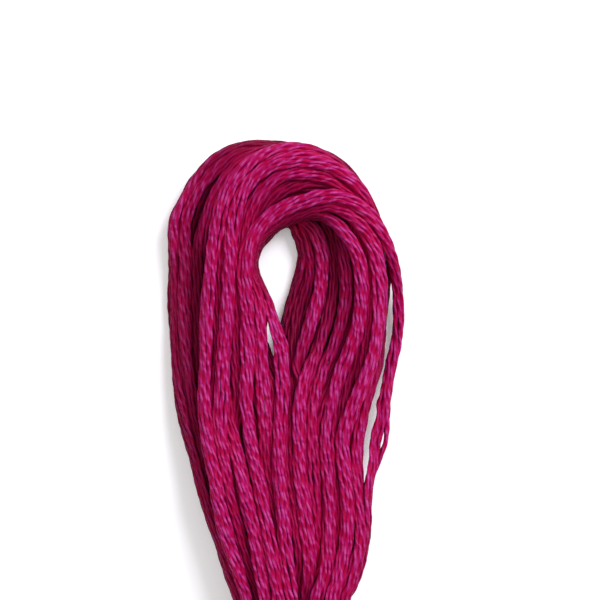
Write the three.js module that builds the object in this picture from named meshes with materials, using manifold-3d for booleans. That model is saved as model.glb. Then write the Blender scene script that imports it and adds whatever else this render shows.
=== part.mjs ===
// A flat skein of soft six-strand cotton cord, lying on its back.
// Millimetres, +Z up. The skein lies on z = 0 with its looped crown towards +Y.
// It is one wound piece: four main twists of turns run round the whole loop and
// roll over one another at the crown, one turn crosses below the eye, and one
// slack turn stands off the right side.
import * as THREE from 'three';
import { mergeVertices } from 'three/addons/utils/BufferGeometryUtils.js';
import Module from 'manifold-3d';

// ---- driving dimensions (mm) ----
const SKEIN_LENGTH = 155.0;   // crown to far end, along Y
const SKEIN_WIDTH = 24.1;     // across the shoulders, along X
const RUN_MIDDLE_X = 0.6;     // middle of the gathered run
const FAR_EYE_Y = -69.8;      // centre of the far turn-round
const TWIST_SIDES = 12;       // sides of a main twist's section
const TURN_SIDES = 8;         // sides of a single turn's section
const FLOOR_SINK = 0.45;      // how far the undersides are pressed flat
const SHORT_EDGE = 0.03;      // edges shorter than this are drawn together
const COLOUR = 0xa30f58;

// The tables place each section by tenths of a millimetre, u to the right and
// d down, from a datum to the upper left of the crown.
const DATUM_U = 284.2;
const DATUM_D = 914.0;
const acrossX = (u) => (u - DATUM_U) / 10;
const alongY = (d) => (DATUM_D - d) / 10;

// One row for each section of a main twist, from the gathered run up the left
// leg, over the crown and down the right leg.
// u, d: tenths of a mm; z: height of the section's middle; w, h: its width and height.
const OUTER_TWIST = [
  { u: 244, d: 600, z: 3.3, w: 2.8, h: 4.9 },
  { u: 224, d: 540, z: 3.1, w: 2.7, h: 4.6 },
  { u: 206, d: 480, z: 2.8, w: 2.7, h: 4.2 },
  { u: 192, d: 420, z: 2.5, w: 2.7, h: 3.9 },
  { u: 185, d: 360, z: 2.3, w: 2.8, h: 3.6 },
  { u: 182, d: 300, z: 2.2, w: 2.8, h: 3.6 },
  { u: 180.5, d: 258, z: 2.2, w: 2.9, h: 3.6 },
  { u: 179, d: 232, z: 2.2, w: 3.1, h: 3.6 },
  { u: 191, d: 206, z: 2.2, w: 2.9, h: 3.6 },
  { u: 215, d: 175, z: 2.2, w: 2.8, h: 3.6 },
  { u: 252, d: 155, z: 2.1, w: 2.8, h: 3.4 },
  { u: 294, d: 159, z: 1.8, w: 3.0, h: 3.2 },
  { u: 328, d: 181, z: 1.6, w: 3.4, h: 2.9 },
  { u: 349, d: 217, z: 1.5, w: 4.0, h: 2.8 },
  { u: 354, d: 262, z: 1.5, w: 4.2, h: 2.8 },
  { u: 348, d: 310, z: 1.5, w: 4.2, h: 2.8 },
  { u: 338, d: 360, z: 1.6, w: 4.2, h: 3.0 },
  { u: 330, d: 420, z: 1.8, w: 4.2, h: 3.4 },
  { u: 327, d: 480, z: 2.0, w: 4.2, h: 3.8 },
  { u: 325, d: 540, z: 2.1, w: 4.0, h: 4.0 },
  { u: 319, d: 600, z: 2.1, w: 3.8, h: 4.0 },
];
const FRONT_TWIST = [
  { u: 259, d: 600, z: 5.1, w: 3.4, h: 4.0 },
  { u: 240, d: 540, z: 4.8, w: 3.6, h: 3.8 },
  { u: 224, d: 480, z: 4.4, w: 3.8, h: 3.6 },
  { u: 215, d: 420, z: 4.0, w: 3.8, h: 3.4 },
  { u: 213, d: 360, z: 3.8, w: 3.8, h: 3.2 },
  { u: 217, d: 300, z: 3.6, w: 3.9, h: 3.2 },
  { u: 220, d: 248, z: 3.6, w: 4.0, h: 3.2 },
  { u: 230, d: 211, z: 3.6, w: 3.9, h: 3.2 },
  { u: 250, d: 184, z: 3.6, w: 3.8, h: 3.2 },
  { u: 280, d: 164, z: 3.5, w: 3.8, h: 3.2 },
  { u: 312, d: 163, z: 3.3, w: 3.8, h: 3.2 },
  { u: 338, d: 179, z: 3.1, w: 3.6, h: 3.2 },
  { u: 355, d: 209, z: 2.9, w: 3.4, h: 3.2 },
  { u: 369, d: 248, z: 2.6, w: 3.2, h: 3.2 },
  { u: 371, d: 300, z: 2.5, w: 3.2, h: 3.2 },
  { u: 365, d: 360, z: 2.6, w: 3.2, h: 3.4 },
  { u: 355, d: 420, z: 2.9, w: 3.2, h: 3.8 },
  { u: 352, d: 470, z: 3.3, w: 2.8, h: 4.4 },
  { u: 360, d: 505, z: 3.5, w: 3.2, h: 4.7 },
  { u: 352, d: 545, z: 3.6, w: 3.2, h: 4.8 },
  { u: 336, d: 600, z: 3.6, w: 3.1, h: 4.8 },
];
const RIM_TWIST = [
  { u: 278, d: 600, z: 5.4, w: 2.6, h: 3.6 },
  { u: 264, d: 540, z: 5.2, w: 2.6, h: 3.6 },
  { u: 253, d: 480, z: 4.7, w: 2.6, h: 3.6 },
  { u: 250, d: 420, z: 4.2, w: 2.6, h: 3.4 },
  { u: 256, d: 360, z: 3.8, w: 2.9, h: 3.2 },
  { u: 252, d: 318, z: 3.7, w: 2.8, h: 3.2 },
  { u: 248, d: 290, z: 3.6, w: 2.5, h: 3.2 },
  { u: 246, d: 262, z: 3.6, w: 2.3, h: 3.2 },
  { u: 254, d: 234, z: 3.6, w: 2.4, h: 3.2 },
  { u: 276, d: 213, z: 3.6, w: 2.6, h: 3.2 },
  { u: 306, d: 197, z: 3.6, w: 2.6, h: 3.0 },
  { u: 337, d: 199, z: 3.6, w: 2.6, h: 3.0 },
  { u: 361, d: 219, z: 3.6, w: 2.6, h: 3.0 },
  { u: 375, d: 248, z: 3.7, w: 2.4, h: 3.0 },
  { u: 376, d: 300, z: 3.8, w: 2.2, h: 3.0 },
  { u: 370, d: 360, z: 4.0, w: 2.3, h: 3.2 },
  { u: 354, d: 420, z: 4.4, w: 2.6, h: 3.4 },
  { u: 346, d: 480, z: 4.8, w: 2.7, h: 3.6 },
  { u: 343, d: 540, z: 5.0, w: 2.7, h: 3.8 },
  { u: 331, d: 600, z: 5.1, w: 2.8, h: 4.0 },
];
const BACK_TWIST = [
  { u: 264, d: 600, z: 2.1, w: 6.0, h: 4.2 },
  { u: 252, d: 540, z: 2.0, w: 7.0, h: 3.9 },
  { u: 241, d: 480, z: 1.9, w: 7.4, h: 3.6 },
  { u: 232, d: 420, z: 1.7, w: 7.6, h: 3.3 },
  { u: 225, d: 375, z: 1.6, w: 7.8, h: 3.0 },
  { u: 216, d: 325, z: 1.5, w: 7.2, h: 2.8 },
  { u: 212, d: 275, z: 1.5, w: 6.6, h: 2.8 },
  { u: 214, d: 240, z: 1.5, w: 6.4, h: 2.8 },
  { u: 228, d: 208, z: 1.5, w: 6.2, h: 2.8 },
  { u: 254, d: 185, z: 1.5, w: 5.8, h: 2.8 },
  { u: 286, d: 180, z: 1.6, w: 5.4, h: 2.9 },
  { u: 308, d: 199, z: 2.0, w: 5.0, h: 3.0 },
  { u: 319, d: 226, z: 2.4, w: 5.2, h: 3.2 },
  { u: 323, d: 255, z: 2.6, w: 5.1, h: 3.2 },
  { u: 315, d: 285, z: 2.7, w: 5.3, h: 3.3 },
  { u: 310, d: 318, z: 2.8, w: 5.4, h: 3.4 },
  { u: 305, d: 360, z: 3.2, w: 5.4, h: 3.8 },
  { u: 299, d: 420, z: 3.8, w: 5.4, h: 4.2 },
  { u: 302, d: 480, z: 4.4, w: 5.2, h: 4.2 },
  { u: 307, d: 540, z: 4.8, w: 4.8, h: 4.2 },
  { u: 306, d: 600, z: 4.9, w: 4.4, h: 4.2 },
];
// The turn that leaves the left leg and crosses below the eye, and the slack
// turn beside the right leg.
const CROSSING_TURN = [
  { u: 241, d: 262, z: 3.2, w: 1.5, h: 1.7 },
  { u: 250, d: 284, z: 3.5, w: 1.5, h: 1.7 },
  { u: 265, d: 301, z: 3.8, w: 1.8, h: 1.7 },
  { u: 276, d: 321, z: 4.1, w: 1.5, h: 1.7 },
  { u: 282, d: 345, z: 4.4, w: 1.5, h: 1.7 },
  { u: 284, d: 375, z: 4.8, w: 1.5, h: 1.8 },
  { u: 284, d: 410, z: 5.1, w: 1.5, h: 1.8 },
];
const SLACK_TURN = [
  { u: 373, d: 214, z: 3.0, w: 1.3, h: 1.6 },
  { u: 387, d: 243, z: 2.4, w: 1.3, h: 1.5 },
  { u: 395.5, d: 272, z: 1.8, w: 1.1, h: 1.3 },
  { u: 399.5, d: 302, z: 1.25, w: 1.0, h: 1.3 },
  { u: 399, d: 332, z: 1.15, w: 1.0, h: 1.3 },
  { u: 393.5, d: 362, z: 1.3, w: 1.1, h: 1.3 },
  { u: 386.5, d: 392, z: 1.7, w: 1.3, h: 1.4 },
  { u: 383.5, d: 422, z: 2.2, w: 1.6, h: 1.4 },
  { u: 379.5, d: 447, z: 2.6, w: 1.7, h: 1.5 },
  { u: 372.5, d: 472, z: 3.0, w: 1.2, h: 1.6 },
  { u: 368, d: 500, z: 3.6, w: 1.3, h: 1.6 },
];

// Below the crown the turns run on gathered, open again a little and turn round
// at the far end. left and right: distance of the section's middle from the
// run's middle line; z, w, h as above, for the left and the right side.
const FAR_END = {
  outer: { left: 4.4, right: 2.8, far: 5.6, zl: 3.3, zr: 2.1, wl: 2.8, wr: 5.4, hl: 4.9, hr: 4.0 },
  front: { left: 3.1, right: 4.4, far: 4.4, zl: 5.0, zr: 3.6, wl: 3.4, wr: 3.0, hl: 4.0, hr: 4.8 },
  rim: { left: 1.3, right: 4.0, far: 3.2, zl: 5.3, zr: 5.1, wl: 2.6, wr: 2.8, hl: 3.6, hr: 4.0 },
  back: { left: 2.6, right: 1.7, far: 4.0, zl: 2.1, zr: 4.9, wl: 6.0, wr: 4.4, hl: 4.2, hr: 4.2 },
};
const RUN_STATIONS_Y = [14, -6, -26, -46];   // sections along the gathered run
const FAR_TURN_DEGREES = [180, 216, 252, 288, 324, 360];
const FAR_TURN_HEIGHT = 0.72;                // the far turn-round lies a little flatter

const CROWN_D = 270;                         // above this the turns bend, so sections lie closer

const mix = (a, b, t) => a + (b - a) * t;

const plainRows = (table) => table.map((r) => ({
  x: acrossX(r.u), y: alongY(r.d), z: r.z, w: r.w, h: r.h, steps: r.d < CROWN_D ? 3 : 2,
}));

function rowsRound(table, far) {
  const rows = plainRows(table);
  for (const y of RUN_STATIONS_Y) {
    rows.push({ x: RUN_MIDDLE_X + far.right, y, z: far.zr, w: far.wr, h: far.hr, steps: 1 });
  }
  for (const degrees of [...FAR_TURN_DEGREES].reverse()) {
    const a = THREE.MathUtils.degToRad(degrees);
    const t = (degrees - 180) / 180;
    rows.push({
      x: RUN_MIDDLE_X + far.far * Math.cos(a),
      y: FAR_EYE_Y + far.far * Math.sin(a),
      z: mix(far.zl, far.zr, t) * FAR_TURN_HEIGHT,
      w: Math.min(mix(far.wl, far.wr, t), 2 * far.far - 2.6),
      h: mix(far.hl, far.hr, t) * FAR_TURN_HEIGHT,
      steps: 2,
    });
  }
  for (const y of [...RUN_STATIONS_Y].reverse()) {
    rows.push({ x: RUN_MIDDLE_X - far.left, y, z: far.zl, w: far.wl, h: far.hl, steps: 1 });
  }
  return rows;
}


// A closed skin round a smooth route: an oval section at each step, with its
// width in the plane of the skein and its height along Z.
function loft(rows, sides, ring) {
  const route = new THREE.CatmullRomCurve3(
    rows.map((r) => new THREE.Vector3(r.x, r.y, r.z)), ring, 'catmullrom', 0.5);
  const girth = new THREE.CatmullRomCurve3(
    rows.map((r) => new THREE.Vector3(r.w, r.h, 0)), ring, 'catmullrom', 0.5);
  const spans = ring ? rows.length : rows.length - 1;
  const stops = [];
  for (let i = 0; i < spans; i++) {
    const steps = rows[i].steps;
    for (let k = 0; k < steps; k++) stops.push((i + k / steps) / spans);
  }
  if (!ring) stops.push(1);
  const count = stops.length;
  const positions = [];
  const up = new THREE.Vector3(0, 0, 1);
  for (const u of stops) {
    const middle = route.getPoint(u);
    middle.z -= FLOOR_SINK;
    const along = route.getTangent(u);
    const size = girth.getPoint(u);
    const side = new THREE.Vector3().crossVectors(up, along).normalize();
    const lift = new THREE.Vector3().crossVectors(along, side).normalize();
    for (let k = 0; k < sides; k++) {
      const a = (2 * Math.PI * (k + 0.5)) / sides;
      const p = middle.clone()
        .addScaledVector(side, (size.x / 2) * Math.cos(a))
        .addScaledVector(lift, (size.y / 2) * Math.sin(a));
      positions.push(p.x, p.y, p.z);
    }
  }
  const index = [];
  const bands = ring ? count : count - 1;
  for (let i = 0; i < bands; i++) {
    const j = (i + 1) % count;
    for (let k = 0; k < sides; k++) {
      const l = (k + 1) % sides;
      const a = i * sides + k, b = i * sides + l, c = j * sides + l, d = j * sides + k;
      index.push(a, b, c, a, c, d);
    }
  }
  if (!ring) {
    for (const [base, flip] of [[0, true], [(count - 1) * sides, false]]) {
      for (let k = 1; k < sides - 1; k++) {
        index.push(...(flip ? [base, base + k + 1, base + k] : [base, base + k, base + k + 1]));
      }
    }
  }
  const geometry = new THREE.BufferGeometry();
  geometry.setAttribute('position', new THREE.Float32BufferAttribute(positions, 3));
  geometry.setIndex(index);
  return geometry;
}

const wasm = await Module();
wasm.setup();

function signedVolume(position, index) {
  const a = new THREE.Vector3(), b = new THREE.Vector3(), c = new THREE.Vector3();
  let six = 0;
  for (let i = 0; i < index.length; i += 3) {
    a.fromArray(position, 3 * index[i]);
    b.fromArray(position, 3 * index[i + 1]);
    c.fromArray(position, 3 * index[i + 2]);
    six += a.dot(b.cross(c));
  }
  return six / 6;
}

function toManifold(geometry) {
  const bare = geometry.clone();
  bare.deleteAttribute('normal');
  bare.deleteAttribute('uv');
  const merged = mergeVertices(bare, 1e-5);
  const vertProperties = Float32Array.from(merged.getAttribute('position').array);
  const triVerts = Uint32Array.from(merged.getIndex().array);
  if (signedVolume(vertProperties, triVerts) < 0) {
    for (let i = 0; i < triVerts.length; i += 3) {
      [triVerts[i + 1], triVerts[i + 2]] = [triVerts[i + 2], triVerts[i + 1]];
    }
  }
  return new wasm.Manifold(new wasm.Mesh({ numProp: 3, vertProperties, triVerts }));
}

// Draws the ends of every edge shorter than SHORT_EDGE together, where the two
// ends have just the edge's own two triangles in common.
function drawTogether(positions, faces) {
  const around = Array.from({ length: positions.length / 3 }, () => new Set());
  faces.forEach((face, f) => face.forEach((v) => around[v].add(f)));
  const neighbours = (v) => new Set([...around[v]].flatMap((f) => faces[f]).filter((w) => w !== v));
  const length = (a, b) => Math.hypot(
    positions[3 * a] - positions[3 * b],
    positions[3 * a + 1] - positions[3 * b + 1],
    positions[3 * a + 2] - positions[3 * b + 2]);
  for (let a = 0; a < around.length; a++) {
    for (const b of neighbours(a)) {
      if (length(a, b) >= SHORT_EDGE) continue;
      const mine = neighbours(a);
      if (!mine.has(b) || [...neighbours(b)].filter((v) => mine.has(v)).length !== 2) continue;
      for (const f of [...around[b]]) {
        if (faces[f].includes(a)) {
          faces[f].forEach((v) => around[v].delete(f));
          faces[f] = [];
        } else {
          faces[f] = faces[f].map((v) => (v === b ? a : v));
          around[b].delete(f);
          around[a].add(f);
        }
      }
    }
  }
  return faces.filter((face) => face.length === 3);
}

// Keeps the outermost skin, so that no pocket is left shut in between the twists.
function toGeometry(manifold) {
  const mesh = manifold.getMesh();
  const points = mesh.vertProperties;
  const index = mesh.triVerts;
  const owner = Int32Array.from({ length: points.length / 3 }, (_, i) => i);
  const root = (i) => {
    while (owner[i] !== i) i = owner[i] = owner[owner[i]];
    return i;
  };
  for (let i = 0; i < index.length; i += 3) {
    owner[root(index[i])] = root(index[i + 1]);
    owner[root(index[i + 1])] = root(index[i + 2]);
  }
  const skins = new Map();
  for (let i = 0; i < index.length; i += 3) {
    const key = root(index[i]);
    if (!skins.has(key)) skins.set(key, []);
    skins.get(key).push(index[i], index[i + 1], index[i + 2]);
  }
  const outer = [...skins.values()]
    .sort((a, b) => signedVolume(points, b) - signedVolume(points, a))[0];
  const triangles = [];
  for (let i = 0; i < outer.length; i += 3) triangles.push(outer.slice(i, i + 3));
  const used = new Map();
  const positions = [];
  const faces = drawTogether(points, triangles).flat().map((i) => {
    if (!used.has(i)) {
      used.set(i, used.size);
      positions.push(points[3 * i], points[3 * i + 1], points[3 * i + 2]);
    }
    return used.get(i);
  });
  const geometry = new THREE.BufferGeometry();
  geometry.setAttribute('position', new THREE.Float32BufferAttribute(positions, 3));
  geometry.setIndex(faces);
  geometry.computeVertexNormals();
  return geometry;
}

// The wound form: the four main twists and the two single turns, joined, then
// pressed flat where they touch the surface.
let form = toManifold(loft(rowsRound(OUTER_TWIST, FAR_END.outer), TWIST_SIDES, true));
form = form.add(toManifold(loft(rowsRound(FRONT_TWIST, FAR_END.front), TWIST_SIDES, true)));
form = form.add(toManifold(loft(rowsRound(RIM_TWIST, FAR_END.rim), TWIST_SIDES, true)));
form = form.add(toManifold(loft(rowsRound(BACK_TWIST, FAR_END.back), TWIST_SIDES, true)));
form = form.add(toManifold(loft(plainRows(CROSSING_TURN), TURN_SIDES, false)));
form = form.add(toManifold(loft(plainRows(SLACK_TURN), TURN_SIDES, false)));

const above = new THREE.BoxGeometry(SKEIN_WIDTH + 20, SKEIN_LENGTH + 20, 20);
above.translate(0, 0, 10);
form = form.intersect(toManifold(above));

const material = new THREE.MeshStandardMaterial({ color: COLOUR, roughness: 0.62, metalness: 0 });
const skein = new THREE.Mesh(toGeometry(form), material);
skein.name = 'skein';

const group = new THREE.Group();
group.add(skein);
export default group;
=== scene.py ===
"""A skein of fine six-strand cotton cord in magenta, lying on its back on a pale floor.

The skein is one cord wound into 24 turns. Its route is given where a turn shows, settled
so that the turns press on each other without passing through, and then each turn is drawn as six
strands, each of two plies.
"""
import math

import bpy
import numpy as np
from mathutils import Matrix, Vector


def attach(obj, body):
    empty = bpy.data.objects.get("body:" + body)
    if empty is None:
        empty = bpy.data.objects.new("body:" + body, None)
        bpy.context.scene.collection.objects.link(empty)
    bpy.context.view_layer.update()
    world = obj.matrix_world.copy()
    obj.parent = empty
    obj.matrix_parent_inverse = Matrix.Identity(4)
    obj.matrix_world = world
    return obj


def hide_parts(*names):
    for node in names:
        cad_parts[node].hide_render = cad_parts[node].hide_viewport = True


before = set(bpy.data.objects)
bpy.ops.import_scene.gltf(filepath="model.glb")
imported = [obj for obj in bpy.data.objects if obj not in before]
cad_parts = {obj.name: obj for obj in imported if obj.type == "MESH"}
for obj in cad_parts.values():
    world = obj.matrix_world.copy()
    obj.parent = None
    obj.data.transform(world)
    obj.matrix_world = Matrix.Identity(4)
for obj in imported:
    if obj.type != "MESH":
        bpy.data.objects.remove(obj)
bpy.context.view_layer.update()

# ---------------------------------------------------------------- sizes, in millimetres
MM = 0.001
DATUM_U, DATUM_D = 284.2, 914.0   # the tables below are in tenths of a mm from this datum
CORD_WIDE = 1.42                  # a turn pressed between its neighbours: width in the plane
CORD_HIGH = 0.80                  # and height
LAYER = 0.95                      # one step of the tables' depth k
STEP = 0.85                       # spacing of the settled points along the cord
STRANDS = 6
STRAND = 0.35                     # a strand's diameter
SOLE = 0.26                       # lowest that a strand's middle lies
PLY_PITCH = 3.9                   # one full turn of a strand's two plies
RUN_MIDDLE = 0.63                 # the gathered run's middle line
FAR_Y = -69.8                     # middle of the far turn-round
FAR_IN, FAR_OUT = 2.1, 6.9        # radius of its inmost and outmost turns

# ---------------------------------------------------------------- the turns that show
# One list for each turn, from the gathered run up the left leg, over the crown and down the right
# leg: u to the right and d down in tenths of a millimetre, k in layers below the top of the skein.
TURNS = {
    "edge": [
        (238, 600, 1.7), (231, 580, 1.7), (221, 549, 1.7), (211, 520, 1.7), (202, 487, 1.75), (195, 460, 1.85),
        (186, 430, 2.0), (180, 400, 2.15), (176.5, 370, 2.3), (174, 336, 2.4), (172.5, 300, 2.4),
        (171.5, 268, 2.35), (170.6, 236, 2.0), (172.5, 221, 1.75), (179.5, 207, 1.6), (189.5, 189, 1.5),
        (201.5, 172, 1.5), (215.5, 158.5, 1.6), (231.5, 150, 1.8), (250, 145, 2.0), (272, 147, 2.3),
        (300, 154, 2.5), (330, 166, 2.6), (350, 187, 2.75), (366, 217, 3.0), (373, 262, 3.2), (374, 320, 3.2),
        (364, 390, 3.3), (355, 450, 3.3), (357, 520, 3.4), (342, 600, 4.2)],
    "band": [
        (243, 600, 2.7), (236, 575, 2.4), (224, 540, 2.0), (213, 505, 1.8), (204, 470, 1.7), (197, 430, 1.7),
        (191, 400, 1.75), (187, 370, 1.8), (184, 336, 1.85), (183, 300, 1.85), (184, 265, 1.8),
        (183, 240, 1.7), (184.5, 217, 1.55), (195.5, 191.5, 1.4), (209.5, 172.5, 1.35), (224, 159, 1.35),
        (242.5, 150.5, 1.35), (268, 151, 1.6), (300, 157, 2.5), (328, 169, 3.3), (347, 188, 3.4), (358, 216, 3.5),
        (363, 262, 3.3), (362, 320, 3.3), (350, 390, 3.4), (337, 450, 3.8), (335, 520, 4.4), (325, 600, 5.0)],
    "under_band": [
        (247, 600, 3.8), (238, 560, 3.2), (222, 510, 2.6), (206, 440, 2.2), (198, 370, 2.3), (197, 300, 2.3),
        (198, 262, 2.0), (200.5, 240, 1.3), (205, 222, 1.0), (211, 203, 0.85), (219.5, 186, 0.8),
        (230, 170.5, 0.8), (243, 159.5, 0.85), (262, 151.5, 1.0), (285, 148.5, 1.3), (308, 151, 1.5),
        (330, 159.5, 1.65), (347, 174, 1.8), (360, 198, 2.1), (372, 228, 2.4), (379, 262, 2.4), (378, 320, 2.3),
        (369, 380, 2.2), (358, 430, 2.2), (352, 480, 2.6), (354, 530, 3.2), (339, 600, 3.6)],
    "left_one": [
        (247, 600, 1.3), (241, 580, 1.0), (233, 555, 0.7), (226, 530, 0.4), (220, 505, 0.2), (214, 475, 0.1),
        (208, 445, 0.1), (205, 420, 0.1), (204, 390, 0.1), (205, 350, 0.1), (207, 305, 0.1), (210, 260, 0.05),
        (214, 235, 0.05), (219, 213, 0.0), (226, 195, 0.0), (236, 178, 0.0), (250, 163.5, 0.1), (268, 154, 0.2),
        (287, 149.5, 0.35), (306, 150, 0.6), (324, 156, 0.65), (339, 166, 0.7), (352, 181, 0.9), (362, 197, 1.15),
        (373, 222, 1.55), (379, 252, 1.6), (380, 300, 1.5), (378, 340, 1.3), (375, 370, 1.0), (370, 392, 0.7),
        (365, 410, 0.6), (362, 428, 0.5), (359.5, 447, 0.4), (359, 475, 0.4), (361, 510, 0.4), (361, 535, 0.45),
        (357, 560, 0.5), (350, 582, 0.6), (343, 600, 0.7)],
    "left_two": [
        (256, 600, 1.2), (249, 575, 1.0), (241, 548, 0.75), (234, 520, 0.5), (228, 490, 0.3), (224, 460, 0.15),
        (220.5, 435, 0.1), (221, 410, 0.05), (223, 390, 0), (224, 350, 0), (227.5, 305, 0), (230, 262, 0),
        (231, 236, 0), (234.5, 214, 0), (242, 194, 0), (254, 178, 0), (270, 166, 0), (289, 160.5, 0.1),
        (309, 161, 0.2), (328, 167, 0.35), (343, 178, 0.45), (354.5, 192, 0.7), (364, 208, 1.0), (371, 230, 1.5),
        (372, 262, 1.5), (371, 310, 1.3), (364, 360, 1.2), (355.5, 405, 1.1), (351.5, 450, 0.95),
        (352.5, 500, 0.95), (351, 550, 1.1), (337, 600, 1.8)],
    "crown_one": [
        (266, 600, 2.4), (252, 550, 1.8), (238, 500, 1.3), (232, 450, 0.95), (234.5, 410, 0.85), (236.5, 370, 0.75),
        (237, 330, 0.75), (238, 290, 0.65), (239, 262, 0.55), (242.5, 240, 0.6), (247, 220, 0.6),
        (255.5, 200, 0.6), (267.5, 185.5, 0.5), (281, 176, 0.4), (297, 172.5, 0.3), (315, 173, 0.3),
        (333, 178.5, 0.3), (346.5, 189.5, 0.5), (357, 203, 0.9), (365, 221, 1.4), (367, 255, 1.6),
        (365, 310, 1.5), (357, 360, 1.3), (345, 400, 1.0), (335.5, 437, 0.85), (336.5, 480, 0.85),
        (338, 525, 0.9), (332, 560, 1.2), (317, 600, 1.6)],
    "crown_two": [
        (276, 600, 2.6), (268, 550, 1.9), (262, 500, 1.3), (258, 450, 0.95), (255.5, 410, 0.95), (252, 370, 1.05),
        (248.5, 330, 1.1), (246, 290, 1.1), (246, 264, 1.0), (247.5, 245, 1.3), (250, 229, 1.35), (257.5, 213, 1.35),
        (268, 199.5, 1.25), (282, 190, 1.1), (298, 185, 1.0), (316, 182.5, 0.85), (334, 186.5, 0.8),
        (347.5, 196, 0.7), (356.5, 209, 1.0), (362, 226, 1.3), (360, 262, 1.6), (356, 310, 1.7),
        (337, 360, 1.5), (321, 400, 0.85), (318.5, 445, 0.75), (319.5, 500, 0.75), (321, 545, 0.75), (318, 572, 1.1), (308, 600, 2.1)],
    "rim_and_slack": [
        (278.5, 600, 0.15), (274, 575, 0.1), (268, 540, 0), (265, 515, 0), (259, 480, 0), (254, 455, 0),
        (249.5, 432, 0), (247, 410, 0), (246.5, 390, 0), (247.5, 350, 0), (248, 305, 0), (246, 268, 0),
        (251, 243, 0.05), (260.5, 227, 0.1), (273, 215.5, 0.15), (289, 205.5, 0.1), (306, 199.5, 0), (322, 195.5, 0),
        (339, 196, 0), (355, 203, 0.05), (370, 215.5, 0.2), (383, 233, 0.5), (391.5, 252, 1.0),
        (397, 274, 1.8), (399.3, 300, 2.6), (399.8, 322, 2.85), (396.7, 345, 2.8), (391, 370, 2.5),
        (386.3, 395, 2.1), (383.8, 418, 1.8), (380.6, 440, 1.5), (375.5, 460, 1.2), (370.5, 480, 0.9),
        (368.5, 500, 0.8), (368, 525, 0.9), (363, 550, 1.0), (353, 580, 1.3), (344, 600, 1.6)],
    "rim_under": [
        (288, 600, 1.4), (279, 550, 1.2), (272, 500, 1.1), (268, 465, 1.0), (267, 440, 0.5), (265, 420, 0.2),
        (263, 390, 0.15), (262.5, 350, 0.2), (261.5, 332, 0.25), (261.5, 315, 0.4), (258.5, 297, 0.65),
        (249, 275, 1.0), (249, 255, 1.0), (257, 238, 1.0), (270, 225, 1.15), (286, 216, 1.2), (302, 210, 1.05),
        (317, 206, 0.75), (331, 206, 0.45), (343, 210.5, 0.25), (354, 218.5, 0.2), (364.5, 230, 0.1),
        (373, 245, 0.05), (378, 262, 0), (380.3, 283, 0), (380, 305, 0), (377.5, 335, 0), (373.5, 357, 0),
        (366.5, 377, 0), (358, 396, 0), (349.5, 416, 0), (343.5, 437, 0), (344, 460, 0), (346, 485, 0),
        (347, 512, 0), (346, 538, 0), (342.5, 560, 0), (337, 582, 0), (331, 600, 0.05)],
    "crossing": [
        (293, 600, 0.1), (289.5, 575, 0), (286, 545, 0), (283, 515, 0), (280.5, 485, 0), (278, 455, 0),
        (279, 430, 0), (282, 405, 0), (283.5, 385, 0), (283, 362, 0), (282, 345, 0.05), (277, 329, 0.15),
        (271, 313, 0.35), (264.5, 298, 0.65), (257, 283, 1.1), (252, 262, 1.5), (258, 242, 1.6),
        (273, 227.5, 1.7), (291, 219, 1.9), (309, 214, 1.6), (323, 216, 1.2), (335, 223.5, 0.8),
        (345, 235, 0.6), (353.5, 248, 0.45), (358.5, 263, 0.35), (361.3, 283, 0.3), (361.3, 305, 0.3),
        (357, 330, 0.3), (349.5, 352, 0.3), (340, 372, 0.25), (333, 393, 0.2), (328.5, 418, 0.2),
        (326.5, 440, 0.2), (327.5, 470, 0.25), (329.5, 500, 0.3), (330, 525, 0.3), (329, 550, 0.25),
        (325, 572, 0.2), (318.5, 592, 0.25), (316, 600, 0.3)],
    "rising": [
        (266, 600, 0.4), (261.5, 572, 0.3), (254, 535, 0.2), (249, 510, 0.1), (245, 490, 0.1), (241, 468, 0.15),
        (236, 443, 0.3), (232, 423, 0.6), (233, 400, 1.1), (236, 370, 1.8), (238, 330, 2.0), (238, 290, 2.0),
        (240, 262, 1.9), (247, 238, 1.9), (260, 221, 2.2), (276, 212, 2.5), (292, 213, 2.5), (305, 222, 2.5),
        (315, 234, 2.2), (321, 249, 2.0), (323.5, 265, 1.9), (322, 285, 1.8), (316.5, 305, 1.7),
        (309.5, 328, 1.3), (302.5, 348, 1.0), (297, 368, 0.85), (295, 390, 0.95), (295, 420, 0.9),
        (295.5, 460, 0.9), (298, 510, 1.0), (301, 560, 1.4), (301, 600, 2.0)],
    "inner_mid": [
        (256, 600, 3.9), (246, 560, 3.4), (236, 510, 2.9), (226, 450, 2.2), (222, 390, 2.1), (222, 330, 2.1),
        (224, 290, 2.1), (226, 262, 2.1), (234, 230, 2.0), (250, 208, 2.0), (270, 197, 2.1), (292, 195.5, 2.3),
        (312, 207, 2.6), (325, 230, 2.8), (331, 255, 2.7), (332.5, 280, 2.6), (329.5, 303, 2.4), (324.5, 328, 1.9),
        (318, 350, 1.5), (309, 370, 0.8), (303, 388, 0.35), (301, 407, 0.1), (300.5, 430, 0), (300, 455, 0),
        (300.5, 480, 0), (304, 505, 0), (308, 528, 0), (310, 552, 0.2), (307, 578, 0.9), (302, 600, 1.9)],
    "inner_one": [
        (270, 600, 5.0), (258, 550, 4.2), (244, 500, 3.4), (232, 440, 2.9), (230, 380, 3.0), (232, 320, 3.1),
        (236, 280, 3.1), (241, 255, 3.1), (252, 233, 3.0), (268, 217, 3.0), (284, 209, 3.1), (296, 214, 3.1),
        (304, 228, 2.7), (309, 243, 2.4), (310.5, 258, 2.4), (309.5, 275, 2.6), (304, 293, 2.75),
        (298, 312, 2.6), (294, 330, 2.2), (291, 352, 1.7), (289.5, 375, 1.2), (289, 400, 0.9),
        (289.5, 430, 0.45), (289.5, 455, 0.3), (291, 480, 0.2), (295, 505, 0.15), (298, 530, 0.15),
        (300, 555, 0.5), (298, 580, 1.2), (297, 600, 2.0)],
    "mid_back": [
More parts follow.
